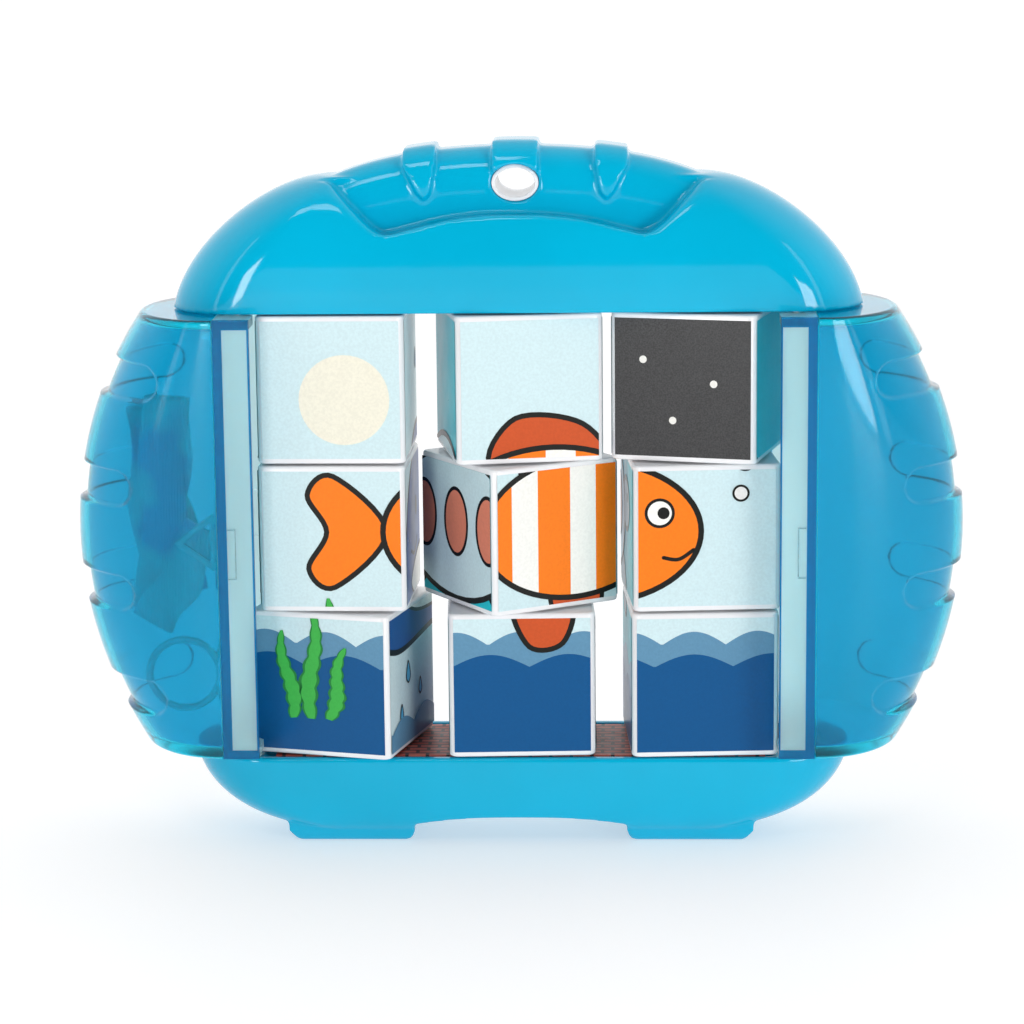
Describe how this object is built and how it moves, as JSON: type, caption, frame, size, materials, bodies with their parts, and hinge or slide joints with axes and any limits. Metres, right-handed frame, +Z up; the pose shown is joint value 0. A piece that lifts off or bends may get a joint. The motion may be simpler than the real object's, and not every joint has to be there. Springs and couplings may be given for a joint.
{
  "type": "rotating cube picture puzzle",
  "caption": "Picture puzzle of white cubes that turn on upright axles inside a glossy blue case with a carrying ridge and a translucent storage bin at each side.",
  "frame": {"origin": "on the surface the feet stand on, under the middle of the case", "axes": "+X to the right along the case's length, +Y to the back, +Z up along the axles"},
  "size_m": [0.2388, 0.0592, 0.1894],
  "materials": {
    "sky_blue_plastic": "opaque, high gloss",
    "deep_blue_clear_plastic": "translucent tinted, high gloss",
    "pale_clear_plastic": "translucent, faintly blue, satin",
    "printed_white_plastic": "white with printed picture faces",
    "white_plastic": "smooth",
    "printed_card": "printed card, satin",
    "strap_webbing": "soft woven webbing",
    "steel": "plain"
  },
  "bodies": {
    "case": {"top_shell": "sky_blue_plastic", "bottom_shell": "sky_blue_plastic", "ceiling_plate": "sky_blue_plastic", "floor_plate": "sky_blue_plastic", "lanyard_eyelet": "white_plastic", "floor_card": "printed_card", "side_frame_left": "pale_clear_plastic", "side_frame_right": "pale_clear_plastic", "axle_left": "steel", "axle_middle": "steel", "axle_right": "steel", "ceiling_screw_1": "steel", "ceiling_screw_2": "steel", "ceiling_screw_3": "steel", "ceiling_screw_4": "steel", "floor_screw_1": "steel", "floor_screw_2": "steel", "floor_screw_3": "steel", "floor_screw_4": "steel", "frame_screw_1": "steel", "frame_screw_2": "steel", "frame_screw_3": "steel", "frame_screw_4": "steel", "frame_screw_5": "steel", "frame_screw_6": "steel", "frame_screw_7": "steel", "frame_screw_8": "steel"},
    "cube_r1c1": {"cube_r1c1": "printed_white_plastic"},
    "cube_r1c2": {"cube_r1c2": "printed_white_plastic"},
    "cube_r1c3": {"cube_r1c3": "printed_white_plastic"},
    "cube_r2c1": {"cube_r2c1": "printed_white_plastic"},
    "cube_r2c2": {"cube_r2c2": "printed_white_plastic"},
    "cube_r2c3": {"cube_r2c3": "printed_white_plastic"},
    "cube_r3c1": {"cube_r3c1": "printed_white_plastic"},
    "cube_r3c2": {"cube_r3c2": "printed_white_plastic"},
    "cube_r3c3": {"cube_r3c3": "printed_white_plastic"},
    "left_bin": {"side_bin_left": "deep_blue_clear_plastic", "wrist_strap": "strap_webbing", "strap_triangle": "white_plastic", "strap_ring": "white_plastic"},
    "right_bin": {"side_bin_right": "deep_blue_clear_plastic"}
  },
  "joints": [
    {"name": "turn_r1c1", "type": "hinge", "parent": "case", "child": "cube_r1c1", "pos_m": [-0.0486, 0, 0.125], "axis": [0, 0, 1], "continuous": true},
    {"name": "turn_r1c2", "type": "hinge", "parent": "case", "child": "cube_r1c2", "pos_m": [0, 0, 0.125], "axis": [0, 0, 1], "continuous": true},
    {"name": "turn_r1c3", "type": "hinge", "parent": "case", "child": "cube_r1c3", "pos_m": [0.0486, 0, 0.125], "axis": [0, 0, 1], "continuous": true},
    {"name": "turn_r2c1", "type": "hinge", "parent": "case", "child": "cube_r2c1", "pos_m": [-0.0486, 0, 0.085], "axis": [0, 0, 1], "range_deg": [-12, 37]},
    {"name": "turn_r2c2", "type": "hinge", "parent": "case", "child": "cube_r2c2", "pos_m": [0, 0, 0.085], "axis": [0, 0, 1], "continuous": true},
    {"name": "turn_r2c3", "type": "hinge", "parent": "case", "child": "cube_r2c3", "pos_m": [0.0486, 0, 0.085], "axis": [0, 0, 1], "range_deg": [-18, 31]},
    {"name": "turn_r3c1", "type": "hinge", "parent": "case", "child": "cube_r3c1", "pos_m": [-0.0486, 0, 0.045], "axis": [0, 0, 1], "continuous": true},
    {"name": "turn_r3c2", "type": "hinge", "parent": "case", "child": "cube_r3c2", "pos_m": [0, 0, 0.045], "axis": [0, 0, 1], "continuous": true},
    {"name": "turn_r3c3", "type": "hinge", "parent": "case", "child": "cube_r3c3", "pos_m": [0.0486, 0, 0.045], "axis": [0, 0, 1], "continuous": true},
    {"name": "pull_left_bin", "type": "slide", "parent": "case", "child": "left_bin", "axis": [-1, 0, 0], "range_m": [0, 0.05]},
    {"name": "pull_right_bin", "type": "slide", "parent": "case", "child": "right_bin", "axis": [1, 0, 0], "range_m": [0, 0.05]}
  ]
}
